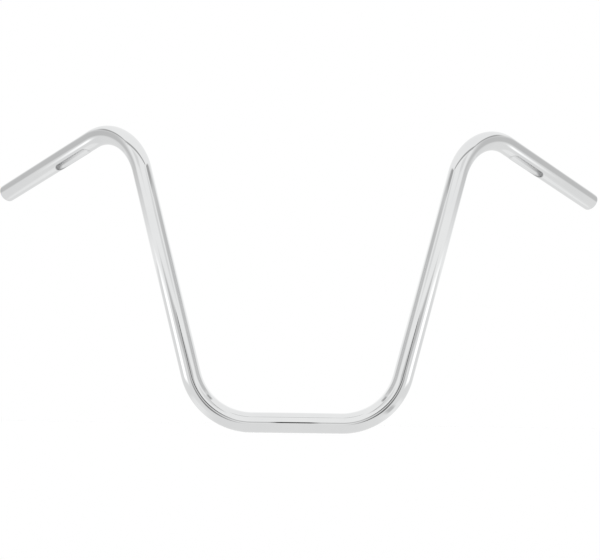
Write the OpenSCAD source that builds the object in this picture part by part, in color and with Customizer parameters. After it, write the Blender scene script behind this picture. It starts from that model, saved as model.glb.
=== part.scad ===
// Tall motorcycle handlebar, bent from one chromed steel tube.
// Origin: middle of the clamp section, on the tube's axis.
// +X to one grip, +Y to the rider, +Z up between the risers of the bar.

/* [Tube] */
// Outside diameter of the tube
tube_od = 25.4; // [22:0.1:32]
// Thickness of the tube's wall
tube_wall = 2.8; // [1.6:0.1:4]

/* [Clamp section] */
// Straight length between the lower bends, that the clamps hold
base_straight = 114; // [90:1:180]
// Radius of the lower bends, at the tube's axis
base_bend_r = 80; // [50:1:110]

/* [Risers] */
// Straight length of each riser
riser_straight = 269; // [120:1:420]
// Lean of each riser away from upright, in degrees
riser_lean = 14.8; // [4:0.2:30]
// Radius of the upper bends, at the tube's axis
top_bend_r = 66; // [50:1:90]

/* [Grips] */
// Straight length of each grip
grip_straight = 190; // [150:1:240]
// Sweep of the grips towards the rider, in degrees
grip_sweep = 36; // [10:1:60]
// Droop of the grips below level, in degrees
grip_droop = 17.2; // [0:0.2:35]

/* [Open ends] */
// Radius of the outer edge at the cut ends
end_round = 1.6; // [0.5:0.1:2]
// Width of the bevel inside the cut ends
end_bevel = 0.6; // [0.2:0.1:1]
// Depth of the reamed seat for an end plug
plug_seat_depth = 45; // [20:1:80]
// Cut that the reamer takes off the bore, on the radius
plug_seat_cut = 0.2; // [0.1:0.05:0.4]

/* [Wiring recess] */
// Distance from the upper bend to the recess
recess_start = 10; // [4:1:30]
// Length of the recess at the tube's surface
recess_length = 64; // [36:1:90]
// Depth of the recess
recess_depth = 4.5; // [2:0.25:5]
// Radius of the round tool that presses the recess
recess_tool_r = 8; // [6:0.5:10]
// Turn of the recess from the grip's underside towards the front, in degrees
recess_turn = 8; // [-60:1:60]

/* [Hidden] */
$fn = 64;
tube_r = tube_od / 2;
bore_r = tube_r - tube_wall;
plug_seat_r = bore_r + plug_seat_cut;
// A bend's tube is drawn this much thinner, and reaches this angle into the straight lengths
bend_draw = 0.1;
bend_lap = 0.5;

// The way that the riser and the grip run, on the +X side
riser_dir = [sin(riser_lean), 0, cos(riser_lean)];
grip_dir = [cos(grip_droop) * cos(grip_sweep), cos(grip_droop) * sin(grip_sweep), -sin(grip_droop)];
base_bend_angle = 90 - riser_lean;
top_bend_angle = acos(riser_dir * grip_dir);

// The lower bend turns inward, and the upper bend's plane is turned from it about the riser
riser_inward = [-cos(riser_lean), 0, sin(riser_lean)];
top_bend_turn = atan2(-grip_dir.y, grip_dir * riser_inward);

// The grip's underside, as a turn about the grip from the side that the upper bend turns to
bend_side = (grip_dir * cos(top_bend_angle) - riser_dir) / sin(top_bend_angle);
underside = [0, 0, -1] - grip_dir * sin(grip_droop);
underside_turn = atan2(cross(bend_side, underside) * grip_dir, bend_side * underside);

// The pressing tool lies with its axis outside the tube, and its round ends are part of the recess
tool_offset = tube_r - recess_depth + recess_tool_r;
tool_end = sqrt(pow(recess_tool_r, 2) - pow(recess_tool_r - recess_depth, 2));
tool_straight = recess_length - 2 * tool_end;

// A bend from the origin, that starts along +Z and turns towards +X.
// Its ends reach a little way into the straight lengths, which are a hair thicker.
module bend(radius, bend_r, angle) {
    translate([bend_r, 0, 0])
        rotate([90, 0, 180])
            rotate([0, 0, -bend_lap])
                rotate_extrude(angle = angle + 2 * bend_lap)
                    translate([bend_r, 0])
                        circle(r = radius - bend_draw);
}

// Puts its children where a bend ends, with +Z along the way that the tube leaves it
module after_bend(bend_r, angle) {
    translate([bend_r, 0, 0])
        rotate([0, angle, 0])
            translate([-bend_r, 0, 0])
                children();
}

// Puts its children at the start of the grip on the +X side, with +Z along the grip
module at_grip() {
    rotate([0, 90, 0])
        rotate([0, 0, 180])
            translate([0, 0, base_straight / 2])
                after_bend(base_bend_r, base_bend_angle)
                    translate([0, 0, riser_straight])
                        rotate([0, 0, top_bend_turn])
                            after_bend(top_bend_r, top_bend_angle)
                                children();
}

// A solid rod up one riser, from the clamp section to the start of the grip
module riser_rod(radius) {
    rotate([0, 90, 0])
        rotate([0, 0, 180])
            translate([0, 0, base_straight / 2]) {
                bend(radius, base_bend_r, base_bend_angle);
                after_bend(base_bend_r, base_bend_angle) {
                    cylinder(r = radius, h = riser_straight);
                    translate([0, 0, riser_straight])
                        rotate([0, 0, top_bend_turn])
                            bend(radius, top_bend_r, top_bend_angle);
                }
            }
}

// A solid rod along the clamp section
module base_rod(radius) {
    rotate([0, 90, 0])
        cylinder(r = radius, h = base_straight, center = true);
}

// The outside of one grip, with its end rounded
module grip_rod() {
    body = grip_straight - end_round;
    cylinder(r = tube_r, h = body);
    translate([0, 0, body])
        rotate_extrude() {
            square([tube_r - end_round, end_round]);
            intersection() {
                translate([tube_r - end_round, 0]) circle(r = end_round);
                square([tube_r, end_round]);
            }
        }
}

// The inside of one grip, turned in one profile with the seat for an end plug and the bevel at its mouth
module grip_bore() {
    seat_start = grip_straight - plug_seat_depth;
    rotate_extrude()
        polygon([
            [0, 0],
            [bore_r, 0],
            [bore_r, seat_start],
            [plug_seat_r, seat_start],
            [plug_seat_r, grip_straight - end_bevel],
            [plug_seat_r + end_bevel, grip_straight],
            [0, grip_straight]
        ]);
}

// The pressing tool beside the grip, grown by the given thickness
module recess_tool(grown) {
    tool_r = recess_tool_r + grown;
    rotate([0, 0, underside_turn + recess_turn])
        translate([tool_offset, 0, recess_start + tool_end]) {
            cylinder(r = tool_r, h = tool_straight);
            sphere(r = tool_r);
            translate([0, 0, tool_straight]) sphere(r = tool_r);
        }
}

// Draws its children on both sides of the bar
module both_sides() {
    children();
    mirror([1, 0, 0]) children();
}

// The tube's outside, with a recess pressed into each grip
module outside() {
    base_rod(tube_r);
    both_sides() {
        riser_rod(tube_r);
        at_grip()
            difference() {
                grip_rod();
                recess_tool(0);
            }
    }
}

// The tube's inside, where the pressed wall of each recess stands in the bore
module inside() {
    base_rod(bore_r);
    both_sides() {
        riser_rod(bore_r);
        at_grip()
            difference() {
                grip_bore();
                recess_tool(tube_wall);
            }
    }
}

module handlebar() {
    color("silver")
        difference() {
            outside();
            inside();
        }
}

handlebar();
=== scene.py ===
"""Tall handlebar bent from one chromed steel tube, seen from the front of the motorcycle.

Metres, in the part's own frame: the origin is the middle of the clamp section,
+X runs along it, +Y goes back to the rider and +Z up between the risers.
"""
from math import acos, copysign, cos, exp, pi, radians, sin, sqrt, tan

import bmesh
import bpy
from mathutils import Matrix, Vector


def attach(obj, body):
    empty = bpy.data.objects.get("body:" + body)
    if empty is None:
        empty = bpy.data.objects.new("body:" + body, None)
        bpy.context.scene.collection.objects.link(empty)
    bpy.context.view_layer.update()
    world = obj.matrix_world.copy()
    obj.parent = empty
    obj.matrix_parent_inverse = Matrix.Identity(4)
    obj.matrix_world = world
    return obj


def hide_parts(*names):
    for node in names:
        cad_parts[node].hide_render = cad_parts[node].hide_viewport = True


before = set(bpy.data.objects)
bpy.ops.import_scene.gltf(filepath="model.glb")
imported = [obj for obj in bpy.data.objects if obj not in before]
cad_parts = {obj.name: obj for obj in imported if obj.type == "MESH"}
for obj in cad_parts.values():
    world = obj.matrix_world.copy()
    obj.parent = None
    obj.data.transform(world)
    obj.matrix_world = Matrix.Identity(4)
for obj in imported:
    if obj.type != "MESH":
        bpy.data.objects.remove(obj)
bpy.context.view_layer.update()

# Sizes of the bar, as in the part's source
TUBE_R = 0.0127
WALL = 0.0028
BORE_R = TUBE_R - WALL
HALF_BASE = 0.057
BASE_BEND_R = 0.080
RISER = 0.269
LEAN = radians(14.8)
TOP_BEND_R = 0.066
SWEEP = radians(36)
DROOP = radians(17.2)
GRIP = 0.190
RIM_ROUND = 0.0016
RIM_BEVEL = 0.0006
SEAT_DEPTH = 0.045
SEAT_CUT = 0.0002
SEAT_R = BORE_R + SEAT_CUT

# Sizes of the wiring recess, and the soft shoulder that pressing leaves round it
RECESS_START = 0.010
RECESS_LENGTH = 0.064
RECESS_DEPTH = 0.0045
RECESS_TOOL_R = 0.008
RECESS_TURN = radians(8)
RECESS_SHOULDER = 0.0022

# How finely the skin is divided, how far the fine stretch runs past the recess, and the
# angle under which an edge looks smooth
AROUND = 128
STRAIGHT_STEPS = 4
RISER_STEPS = 8
BASE_BEND_STEPS = 36
TOP_BEND_STEPS = 40
BEFORE_RECESS_STEPS = 2
RECESS_STEPS = 60
RECESS_MARGIN = 0.004
RIM_STEPS = 6
RIM_BEVEL_STEPS = 2
SMOOTH_BELOW = radians(40)

# The search for the pressed skin starts this far under the recess's floor
SEARCH_UNDER = 0.001
SEARCH_STEPS = 24

# How near counts as on a ring along the grip, on a radius, or as one point of the skin
ON_RING = 1e-5
ON_RADIUS = 1e-4
ONE_POINT = 1e-6
ONE_POINT_AT_MIRROR = 1e-5
# which way is outwards is judged on a face this far beside the mirror plane
BESIDE_MIRROR = 0.005

# The painted shade in the recess, which stands in for the dark reflections in it, where 0 is
# bright chrome and 1 is the full painted shade. It fades over the reach on both sides of the lip,
# and each growth is a power of the share of the recess's length
LIP_REACH = 0.0011
LIP_MIDDLE = 1.1
LIP_TO_FRONT = 3
LIP_AT_BACK = 0.1
LIP_AT_INNER_END = 0.6
FRONT_WALL = 0.78
WALL_GROWTH = 1.5
END_GROWTH = 6

# The way of the tube on the +X side
RISER_DIR = Vector((sin(LEAN), 0, cos(LEAN)))
GRIP_DIR = Vector((cos(DROOP) * cos(SWEEP), cos(DROOP) * sin(SWEEP), -sin(DROOP)))
BASE_END = Vector((HALF_BASE, 0, 0))
RISER_FOOT = BASE_END + Vector((BASE_BEND_R * cos(LEAN), 0, BASE_BEND_R * (1 - sin(LEAN))))
RISER_TOP = RISER_FOOT + RISER_DIR * RISER
TOP_BEND_ANGLE = acos(RISER_DIR.dot(GRIP_DIR))
TOP_BEND_IN = (GRIP_DIR - RISER_DIR * cos(TOP_BEND_ANGLE)).normalized()
GRIP_START = (RISER_TOP + TOP_BEND_IN * TOP_BEND_R * (1 - cos(TOP_BEND_ANGLE))
              + RISER_DIR * TOP_BEND_R * sin(TOP_BEND_ANGLE))

# The studio: floor, plain light, one lamp, and the middle of the cards that stand round the bar
FLOOR_Z = -0.35
FLOOR_SIZE = 8
FLOOR_SHADE = 0.82
SKY_LIGHT = 0.7
KEY_LIGHT_PLACE = Vector((0.4, -0.9, 1.6))
KEY_LIGHT_SPREAD = radians(25)
# how squarely the lamp meets the floor
KEY_LIGHT_SLANT = 0.85
TENT_MIDDLE = Vector((0, 0, 0.1))

# The camera, fitted to the photograph
CAMERA_PLACE = Vector((-0.003886, -1.118723, 0.095537))
CAMERA_YAW = radians(-0.304)
CAMERA_PITCH = radians(4.354)
CAMERA_ROLL = radians(0.799)
SENSOR_WIDTH_MM = 36
LENS_MM = 52.743

# Most of a noise lies between these, and the finishes spread it out from there
NOISE_LOW = 0.35
NOISE_HIGH = 0.65


# The tube

def clear_selection():
    """Leaves edit mode and selects nothing."""
    if bpy.context.mode != "OBJECT":
        bpy.ops.object.mode_set(mode="OBJECT")
    bpy.ops.object.select_all(action="DESELECT")


def pull_out(step, times=1):
    """The selected ring is drawn out along step, in several equal lengths."""
    for _ in range(times):
        bpy.ops.mesh.extrude_region_move(TRANSFORM_OT_translate={"value": step / times})


def bend_round(centre, axis, angle, steps):
    """The selected ring is carried round a bend."""
    bpy.ops.mesh.spin(steps=steps, angle=angle, center=centre, axis=axis, dupli=False)


def draw_half_tube():
    """The skin of the +X half, from the middle of the clamp section to the open end."""
    clear_selection()
    bpy.ops.mesh.primitive_circle_add(vertices=AROUND, radius=TUBE_R, fill_type="NOTHING",
                                      location=(0, 0, 0), rotation=(0, pi / 2, 0))
    tube = bpy.context.object
    tube.name = "handlebar_tube"
    bpy.ops.object.transform_apply(location=True, rotation=True, scale=True)
    bpy.ops.object.mode_set(mode="EDIT")
    bpy.ops.mesh.select_all(action="SELECT")
    pull_out(BASE_END, STRAIGHT_STEPS)
    bend_round(BASE_END + Vector((0, 0, BASE_BEND_R)), (0, 1, 0), pi / 2 - LEAN, BASE_BEND_STEPS)
    pull_out(RISER_DIR * RISER, RISER_STEPS)
    bend_round(RISER_TOP + TOP_BEND_IN * TOP_BEND_R, TOP_BEND_IN.cross(RISER_DIR),
               TOP_BEND_ANGLE, TOP_BEND_STEPS)
    pull_out(GRIP_DIR * (RECESS_START - RECESS_MARGIN), BEFORE_RECESS_STEPS)
    pull_out(GRIP_DIR * (RECESS_LENGTH + 2 * RECESS_MARGIN), RECESS_STEPS)
    pull_out(GRIP_DIR * (GRIP - SEAT_DEPTH - RECESS_START - RECESS_LENGTH - RECESS_MARGIN),
             STRAIGHT_STEPS)
    pull_out(GRIP_DIR * SEAT_CUT)
    pull_out(GRIP_DIR * (SEAT_DEPTH - SEAT_CUT), STRAIGHT_STEPS)
    bpy.ops.object.mode_set(mode="OBJECT")
    return tube


def forward(way):
    """The way, or its opposite, whichever points to the front of the bar."""
    return -way if way.y > 0 else way


def recess_frame():
    """The two ends of the round pressing tool's middle line, and the way to its front."""
    down = (Vector((0, 0, -1)) - GRIP_DIR * sin(DROOP)).normalized()
    side = down * cos(RECESS_TURN) + forward(GRIP_DIR.cross(down)) * sin(RECESS_TURN)
    reach = sqrt(RECESS_TOOL_R ** 2 - (RECESS_TOOL_R - RECESS_DEPTH) ** 2)
    off = side * (TUBE_R - RECESS_DEPTH + RECESS_TOOL_R)
    near = GRIP_START + GRIP_DIR * (RECESS_START + reach) + off
    far = GRIP_START + GRIP_DIR * (RECESS_START + RECESS_LENGTH - reach) + off
    return near, far, forward(side.cross(GRIP_DIR))


def from_segment(p, a, b):
    """How far the point p lies from the line between a and b."""
    along = b - a
    t = max(0.0, min(1.0, (p - a).dot(along) / along.length_squared))
    return (p - a - along * t).length


def painted_recess_shade(to_lip, ahead, outer):
    """How strong the painted shade is: most on the lip and down the front wall, to the outer end.

    to_lip is how far a point lies outside the lip, ahead is 1 towards the front of the bar
    and -1 to its back, and outer goes from 0 at the recess's inner end to 1 at its outer end.
    """
    front = (min(max(LIP_MIDDLE + ahead * LIP_TO_FRONT, LIP_AT_BACK), 1.0)
             * (LIP_AT_INNER_END + (1 - LIP_AT_INNER_END) * outer))
    wall = FRONT_WALL * front * outer ** WALL_GROWTH if to_lip < 0 else 0.0
    return max(wall, exp(-(to_lip / LIP_REACH) ** 2) * max(front, outer ** END_GROWTH))


def outside_skin(radius, axis, out, near, far):
    """Above 0 where the point at this radius is outside the tube, or inside the tool."""
    over_tube = radius - TUBE_R
    in_tool = RECESS_TOOL_R - from_segment(axis + out * radius, near, far)
    blend = max(RECESS_SHOULDER - abs(over_tube - in_tool), 0) / RECESS_SHOULDER
    return max(over_tube, in_tool) + blend * blend * RECESS_SHOULDER / 4


def pressed_radius(axis, out, near, far):
    """The radius of the pressed skin on one way out from the grip's axis."""
    low, high = TUBE_R - RECESS_DEPTH - SEARCH_UNDER, TUBE_R
    for _ in range(SEARCH_STEPS):
        middle = (low + high) / 2
        if outside_skin(middle, axis, out, near, far) < 0:
            low = middle
        else:
            high = middle
    return low


def press_recess(tube):
    """Moves the skin under the tool inwards, with a soft shoulder round the recess."""
    near, far, front = recess_frame()
    # the painted shade of the recess, standing in for its dark reflections, is kept on each pressed
    # point as lip_shade
    shade = tube.data.attributes.new("lip_shade", "FLOAT", "POINT")
    for v in tube.data.vertices:
        if from_segment(v.co, near, far) > RECESS_TOOL_R + 2 * RECESS_SHOULDER:
            continue
        along = (v.co - GRIP_START).dot(GRIP_DIR)
        axis = GRIP_START + GRIP_DIR * along
        out = (v.co - axis).normalized()
        radius = pressed_radius(axis, out, near, far)
        v.co = axis + out * radius
        to_lip = radius - TUBE_R - RECESS_TOOL_R + from_segment(v.co, near, far)
        outer = min(max((along - RECESS_START) / RECESS_LENGTH, 0.0), 1.0)
        shade.data[v.index].value = painted_recess_shade(to_lip, out.dot(front), outer)


def add_modifier(tube, kind, **settings):
    """Adds a modifier with these settings, and applies it."""
    modifier = tube.modifiers.new(kind.title(), kind)
    for name, value in settings.items():
        setattr(modifier, name, value)
    bpy.ops.object.modifier_apply(modifier=modifier.name)


def along_grip(co):
    """How far along the grip on its own side a point lies, and its way out from the axis."""
    p = Vector((abs(co.x), co.y, co.z)) - GRIP_START
    along = p.dot(GRIP_DIR)
    return along, p - GRIP_DIR * along


def ream_seats(tube):
    """Opens the last stretch of the bore by the reamer's cut, where an end plug seats."""
    for v in tube.data.vertices:
        along, out = along_grip(v.co)
        if along > GRIP - SEAT_DEPTH + SEAT_CUT / 2 and abs(out.length - BORE_R) < ON_RADIUS:
            p = GRIP_START + GRIP_DIR * along + out.normalized() * SEAT_R
            v.co = (copysign(p.x, v.co.x), p.y, p.z)


def on_end_ring(edge, radius):
    """Whether an edge lies on the ring of this radius at an open end."""
    for v in edge.verts:
        along, out = along_grip(v.co)
        if abs(along - GRIP) > ON_RING or abs(out.length - radius) > ON_RADIUS:
            return False
    return True


def bevel_end_rings(tube, radius, width, segments):
    """Bevels the ring of this radius at both open ends, in edit mode."""
    mesh = bmesh.from_edit_mesh(tube.data)
    bpy.ops.mesh.select_mode(type="EDGE")
    bpy.ops.mesh.select_all(action="DESELECT")
    for edge in mesh.edges:
        if on_end_ring(edge, radius):
            edge.select_set(True)
    bmesh.update_edit_mesh(tube.data)
    bpy.ops.mesh.bevel(offset=width, segments=segments, profile=0.5)


def face_outwards(tube):
    """Turns all faces one way, outwards, judged on the top of the clamp section."""
    bpy.ops.object.mode_set(mode="EDIT")
    bpy.ops.mesh.select_all(action="SELECT")
    bpy.ops.mesh.remove_doubles(threshold=ONE_POINT)
    bpy.ops.mesh.normals_make_consistent(inside=False)
    bpy.ops.object.mode_set(mode="OBJECT")
    base_top = Vector((BESIDE_MIRROR, 0, TUBE_R))
    judge = min(tube.data.polygons, key=lambda f: (f.center - base_top).length)
    if judge.normal.z < 0:
        tube.data.flip_normals()


def make_bar():
    """The whole tube: its skin, mirrored, given its wall, reamed and finished at the ends."""
    tube = draw_half_tube()
    press_recess(tube)
    add_modifier(tube, "MIRROR", use_axis=(True, False, False), merge_threshold=ONE_POINT_AT_MIRROR)
    face_outwards(tube)
    add_modifier(tube, "SOLIDIFY", thickness=WALL, offset=-1, use_rim=True, use_even_offset=True,
                 material_offset=1, material_offset_rim=0)
    ream_seats(tube)
    bpy.ops.object.mode_set(mode="EDIT")
    bevel_end_rings(tube, TUBE_R, RIM_ROUND, RIM_STEPS)
    bevel_end_rings(tube, SEAT_R, RIM_BEVEL, RIM_BEVEL_STEPS)
    clear_selection()
    tube.select_set(True)
    bpy.ops.object.shade_smooth_by_angle(angle=SMOOTH_BELOW)
    return tube


# The finishes

def new_group(name, ins, outs):
    """A node group, with its input sockets and their values, and its output sockets."""
    group = bpy.data.node_groups.new(name, "ShaderNodeTree")
    for socket, value in ins:
        added = group.interface.new_socket(socket, in_out="INPUT", socket_type="NodeSocketFloat")
        added.default_value = value
    for socket in outs:
        group.interface.new_socket(socket, in_out="OUTPUT", socket_type="NodeSocketFloat")
    return group, group.nodes.new("NodeGroupInput"), group.nodes.new("NodeGroupOutput")


def polish_group():
    """Cloudy haze and fine specks over a polished surface."""
    group, given, out = new_group("polish_haze", [("Cloud Size", 14.0), ("Speck Size", 900.0)],
                                  ["Haze", "Specks"])
    nodes, links = group.nodes, group.links
    place = nodes.new("ShaderNodeTexCoord")
    cloud = nodes.new("ShaderNodeTexNoise")
    cloud.inputs["Detail"].default_value = 4
    cloud.inputs["Roughness"].default_value = 0.6
    speck = nodes.new("ShaderNodeTexNoise")
    speck.inputs["Detail"].default_value = 2
    for texture, scale, result in ((cloud, "Cloud Size", "Haze"), (speck, "Speck Size", "Specks")):
        links.new(place.outputs["Object"], texture.inputs["Vector"])
        links.new(given.outputs[scale], texture.inputs["Scale"])
        links.new(texture.outputs["Fac"], out.inputs[result])
    return group


def new_finish(name, group, cloud_size, speck_size):
    """A material with the polish group in it, and its nodes, links, shader and group node."""
    finish = bpy.data.materials.new(name)
    finish.use_nodes = True
    nodes = finish.node_tree.nodes
    effect = nodes.new("ShaderNodeGroup")
    effect.node_tree = group
    effect.inputs["Cloud Size"].default_value = cloud_size
    effect.inputs["Speck Size"].default_value = speck_size
    return finish, nodes, finish.node_tree.links, nodes["Principled BSDF"], effect


def ramp(nodes, links, source, stops):
    """Turns a value into a colour, by two stops of place and colour."""
    node = nodes.new("ShaderNodeValToRGB")
    for element, (at, colour) in zip(node.color_ramp.elements, stops):
        element.position = at
        element.color = (*colour, 1)
    links.new(source, node.inputs["Fac"])
    return node.outputs["Color"]


def span(nodes, links, source, low, high, socket):
    """Spreads the middle of a noise over low to high."""
    node = nodes.new("ShaderNodeMapRange")
    node.inputs["From Min"].default_value = NOISE_LOW
    node.inputs["From Max"].default_value = NOISE_HIGH
    node.inputs["To Min"].default_value = low
    node.inputs["To Max"].default_value = high
    links.new(source, node.inputs["Value"])
    links.new(node.outputs["Result"], socket)


def chrome_finish(group):
    """Bright chrome with a breath of haze, and painted shade at the recess for its dark
    reflections.
    """
    chrome, nodes, links, shader, effect = new_finish("bright_chrome", group, 16, 700)
    shader.inputs["Metallic"].default_value = 1
    bright = ramp(nodes, links, effect.outputs["Haze"],
                  [(0.30, (0.765, 0.772, 0.776)), (0.70, (0.800, 0.806, 0.806))])
    shade = nodes.new("ShaderNodeAttribute")
    shade.attribute_name = "lip_shade"
    painted_shade_mix = nodes.new("ShaderNodeMix")
    painted_shade_mix.data_type = "RGBA"
    # the colour of the painted shade in the recess
    painted_shade_mix.inputs["B"].default_value = (0.15, 0.15, 0.155, 1)
    links.new(shade.outputs["Fac"], painted_shade_mix.inputs["Factor"])
    links.new(bright, painted_shade_mix.inputs["A"])
    links.new(painted_shade_mix.outputs["Result"], shader.inputs["Base Color"])
    span(nodes, links, effect.outputs["Haze"], 0.012, 0.030, shader.inputs["Roughness"])
    bump = nodes.new("ShaderNodeBump")
    bump.inputs["Strength"].default_value = 0.02
    bump.inputs["Distance"].default_value = 0.0002
    links.new(effect.outputs["Specks"], bump.inputs["Height"])
    links.new(bump.outputs["Normal"], shader.inputs["Normal"])
    return chrome


def bore_finish(group):
    """Bare drawn steel inside the tube, dull and a little stained."""
    bore, nodes, links, shader, effect = new_finish("bare_steel_bore", group, 60, 1500)
    steel = ramp(nodes, links, effect.outputs["Haze"],
                 [(0.32, (0.16, 0.15, 0.14)), (0.68, (0.30, 0.29, 0.28))])
    links.new(steel, shader.inputs["Base Color"])
    span(nodes, links, effect.outputs["Specks"], 0.42, 0.62, shader.inputs["Roughness"])
    span(nodes, links, effect.outputs["Haze"], 0.75, 1.0, shader.inputs["Metallic"])
    return bore


# The studio

def work_out(nodes, links, operation, first, second=None):
    """One sum of one or two values, each the output of a node or a plain number."""
    node = nodes.new("ShaderNodeMath")
    node.operation = operation
    for given, socket in ((first, node.inputs[0]), (second, node.inputs[1])):
        if isinstance(given, (int, float)):
            socket.default_value = given
        elif given is not None:
            links.new(given, socket)
    return node.outputs[0]


def seen_directly(nodes, links, if_not, if_seen, socket):
    """Sets if_seen for what the camera, a mirror or glass shows, and if_not for plain light."""
    path = nodes.new("ShaderNodeLightPath").outputs
    seen = work_out(nodes, links, "ADD", path["Is Camera Ray"], path["Is Glossy Ray"])
    seen = work_out(nodes, links, "ADD", seen, path["Is Transmission Ray"])
    choice = nodes.new("ShaderNodeMapRange")
    choice.inputs["To Min"].default_value = if_not
    choice.inputs["To Max"].default_value = if_seen
    links.new(seen, choice.inputs["Value"])
    links.new(choice.outputs["Result"], socket)


def white_world():
    """White to the camera and in reflections, and a plain soft light for the rest."""
    world = bpy.data.worlds.new("white_studio")
    bpy.context.scene.world = world
    world.use_nodes = True
    nodes, links = world.node_tree.nodes, world.node_tree.links
    back = nodes["Background"]
    back.inputs["Color"].default_value = (1, 1, 1, 1)
    seen_directly(nodes, links, SKY_LIGHT, 1, back.inputs["Strength"])


def lay_floor():
    """A pale floor that reaches white where nothing shades it, and keeps the bar's shadow."""
    clear_selection()
    bpy.ops.mesh.primitive_plane_add(size=FLOOR_SIZE, location=(0, 0, FLOOR_Z))
    floor = bpy.context.object
    floor.name = "studio_floor"
    finish = bpy.data.materials.new("pale_floor")
    finish.use_nodes = True
    nodes, links = finish.node_tree.nodes, finish.node_tree.links
    shader = nodes["Principled BSDF"]
    shader.inputs["Base Color"].default_value = (FLOOR_SHADE, FLOOR_SHADE, FLOOR_SHADE, 1)
    shader.inputs["Roughness"].default_value = 1
    shader.inputs["Specular IOR Level"].default_value = 0
    shader.inputs["Emission Color"].default_value = (1, 1, 1, 1)
    seen_directly(nodes, links, 0, 1 - FLOOR_SHADE, shader.inputs["Emission Strength"])
    floor.data.materials.append(finish)


def card_finish(name, shade, soft):
    """Plain light of one shade, that fades out over a share of the card at each edge."""
    finish = bpy.data.materials.new(name)
    finish.use_nodes = True
    nodes, links = finish.node_tree.nodes, finish.node_tree.links
    nodes.clear()
    glow = nodes.new("ShaderNodeEmission")
    glow.inputs["Color"].default_value = (shade, shade, shade, 1)
    clear = nodes.new("ShaderNodeBsdfTransparent")
    place = nodes.new("ShaderNodeSeparateXYZ")
    links.new(nodes.new("ShaderNodeTexCoord").outputs["Generated"], place.inputs[0])
    fades = []
    for axis, width in zip("XY", soft):
        from_middle = work_out(nodes, links, "SUBTRACT", place.outputs[axis], 0.5)
        edge = nodes.new("ShaderNodeMapRange")
        edge.interpolation_type = "SMOOTHSTEP"
        edge.inputs["From Min"].default_value = 0.5
        edge.inputs["From Max"].default_value = 0.5 - width
        links.new(work_out(nodes, links, "ABSOLUTE", from_middle), edge.inputs["Value"])
        fades.append(edge.outputs["Result"])
    mix = nodes.new("ShaderNodeMixShader")
    links.new(work_out(nodes, links, "MULTIPLY", *fades), mix.inputs[0])
    links.new(clear.outputs[0], mix.inputs[1])
    links.new(glow.outputs[0], mix.inputs[2])
    links.new(mix.outputs[0], nodes.new("ShaderNodeOutputMaterial").inputs["Surface"])
    return finish


def hang_card(name, size, place, facing, shade, soft):
    """A card that shows only in the chrome, as the walls and lights of a studio do."""
    clear_selection()
    bpy.ops.mesh.primitive_plane_add(size=1, location=(0, 0, 0))
    card = bpy.context.object
    card.name = name
    card.scale = (*size, 1)
    card.rotation_euler = Vector(facing).to_track_quat("Z", "Y").to_euler()
    card.location = place
    card.data.materials.append(card_finish(name, shade, soft))
    card.visible_camera = False
    card.visible_diffuse = False
    card.visible_shadow = False


def card_round(name, turn, height, wide, high, shade, soft, away):
    """A card round the bar: turn 0 is the camera's side and 90 is +X, and all are in degrees."""
    t, h = radians(turn), radians(height)
    way = Vector((sin(t) * cos(h), -cos(t) * cos(h), sin(h)))
    size = (2 * away * tan(radians(wide) / 2), 2 * away * tan(radians(high) / 2))
    hang_card(name, size, TENT_MIDDLE + way * away, -way, shade, soft)


def hang_middle_cards():
    """The greys of the floor, the camera and what stands by it, and the ceiling's front edge."""
    hang_card("floor_grey", size=(9, 9), place=(0, 0, FLOOR_Z + 0.01), facing=(0, 0, 1),
              shade=0.87, soft=(0.05, 0.05))
    hang_card("floor_line", size=(0.2, 0.8), place=(0.48, -0.42, FLOOR_Z + 0.03),
              facing=(0, 0, 1), shade=0.60, soft=(0.4, 0.2))
    hang_card("camera", size=(0.14, 0.30), place=(0, -1.13, 0.13), facing=(0, 1, 0),
              shade=0.03, soft=(0.25, 0.15))
    hang_card("camera_band", size=(1.9, 0.34), place=(0, -1.16, 0.13), facing=(0, 1, 0),
              shade=0.60, soft=(0.2, 0.35))
    hang_card("front_light", size=(0.5, 0.24), place=(0, -0.5, 0.57), facing=(0, 0.5, -0.5),
              shade=1.0, soft=(0.3, 0.15))
    hang_card("ceiling_line", size=(0.22, 0.046), place=(0, -0.2, 0.52), facing=(0, 0.4, -0.9),
              shade=0.45, soft=(0.3, 0.3))
    hang_card("ceiling_edge_front", size=(6.4, 0.85), place=(0, -2.5, 2.7),
              facing=(0, 0.7, -0.7), shade=0.42, soft=(0.15, 0.42))


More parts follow.
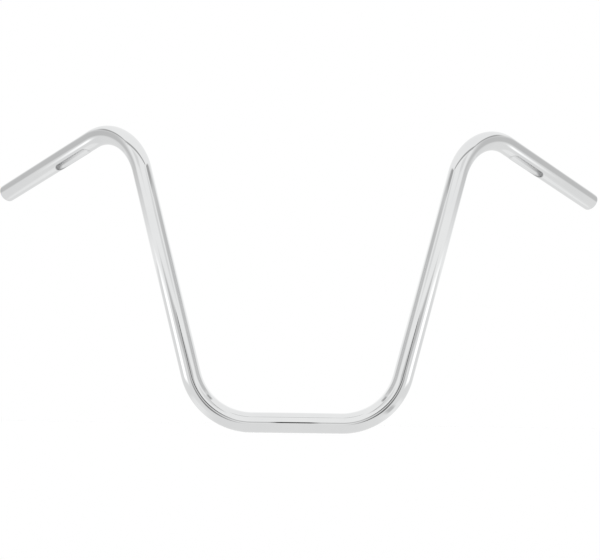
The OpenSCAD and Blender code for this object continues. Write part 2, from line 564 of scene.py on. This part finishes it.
def hang_side_cards(side, sign, stand_shade):
    """The stand, lights, wall and ceiling edge on one side of the bar. sign is 1 for +X."""
    hang_card("stand_" + side, size=(0.44, 0.85), place=(0.34 * sign, -1.18, -0.2),
              facing=(0, 1, 0.1), shade=stand_shade, soft=(0.42, 0.45))
    hang_card("floor_pool_" + side, size=(0.5, 1.3), place=(0.54 * sign, 0.15, FLOOR_Z + 0.02),
              facing=(0, 0, 1), shade=0.98, soft=(0.35, 0.3))
    card_round("beside_camera_" + side, turn=30 * sign, height=28, wide=28, high=28,
               shade=0.84, soft=(0.3, 0.3), away=1.3)
    hang_card("low_light_" + side, size=(0.85, 0.5), place=(1.08 * sign, -0.48, -0.10),
              facing=(-1.08 * sign, 0.48, 0.1), shade=1.38, soft=(0.25, 0.3))
    card_round("side_wall_" + side, turn=92 * sign, height=23, wide=74, high=50,
               shade=0.63, soft=(0.3, 0.3), away=1.3)
    card_round("back_light_" + side, turn=161 * sign, height=22, wide=40, high=26,
               shade=1.12, soft=(0.25, 0.25), away=1.35)
    hang_card("ceiling_edge_" + side, size=(0.95, 0.2), place=(0.75 * sign, -0.22, 0.86),
              facing=(-0.7 * sign, 0, -0.7), shade=0.45, soft=(0.3, 0.35))


def key_light():
    """One soft lamp from above the camera, which casts the shadow and isn't seen in the chrome."""
    clear_selection()
    bpy.ops.object.light_add(type="SUN", location=KEY_LIGHT_PLACE)
    lamp = bpy.context.object
    lamp.name = "key_light"
    lamp.data.angle = KEY_LIGHT_SPREAD
    lamp.data.energy = (1 - SKY_LIGHT) * pi / KEY_LIGHT_SLANT
    lamp.rotation_euler = (-KEY_LIGHT_PLACE).to_track_quat("-Z", "Y").to_euler()
    lamp.visible_glossy = False


def set_camera():
    """As the photograph was taken: from the front, a little below the middle, looking up."""
    look = Vector((-sin(CAMERA_YAW) * cos(CAMERA_PITCH), cos(CAMERA_YAW) * cos(CAMERA_PITCH),
                   sin(CAMERA_PITCH)))
    level = Vector((cos(CAMERA_YAW), sin(CAMERA_YAW), 0))
    upright = level.cross(look)
    right = level * cos(CAMERA_ROLL) + upright * sin(CAMERA_ROLL)
    up = upright * cos(CAMERA_ROLL) - level * sin(CAMERA_ROLL)
    lens = bpy.data.cameras.new("front_camera")
    lens.sensor_fit = "HORIZONTAL"
    lens.sensor_width = SENSOR_WIDTH_MM
    lens.lens = LENS_MM
    lens.clip_start = 0.01
    lens.clip_end = 50
    camera = bpy.data.objects.new("front_camera", lens)
    bpy.context.scene.collection.objects.link(camera)
    camera.matrix_world = (Matrix.Translation(CAMERA_PLACE)
                           @ Matrix((right, up, -look)).transposed().to_4x4())
    bpy.context.scene.camera = camera


# The bar with its finishes
haze = polish_group()
bar = make_bar()
bar.data.materials.clear()
bar.data.materials.append(chrome_finish(haze))
bar.data.materials.append(bore_finish(haze))
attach(bar, "root")
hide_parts("handlebar")

# The studio round it. Left is the rider's left hand, on +X
set_camera()
white_world()
lay_floor()
hang_middle_cards()
hang_side_cards("left", 1, stand_shade=0.14)
hang_side_cards("right", -1, stand_shade=0.24)
key_light()
bpy.context.scene.view_settings.view_transform = "Standard"
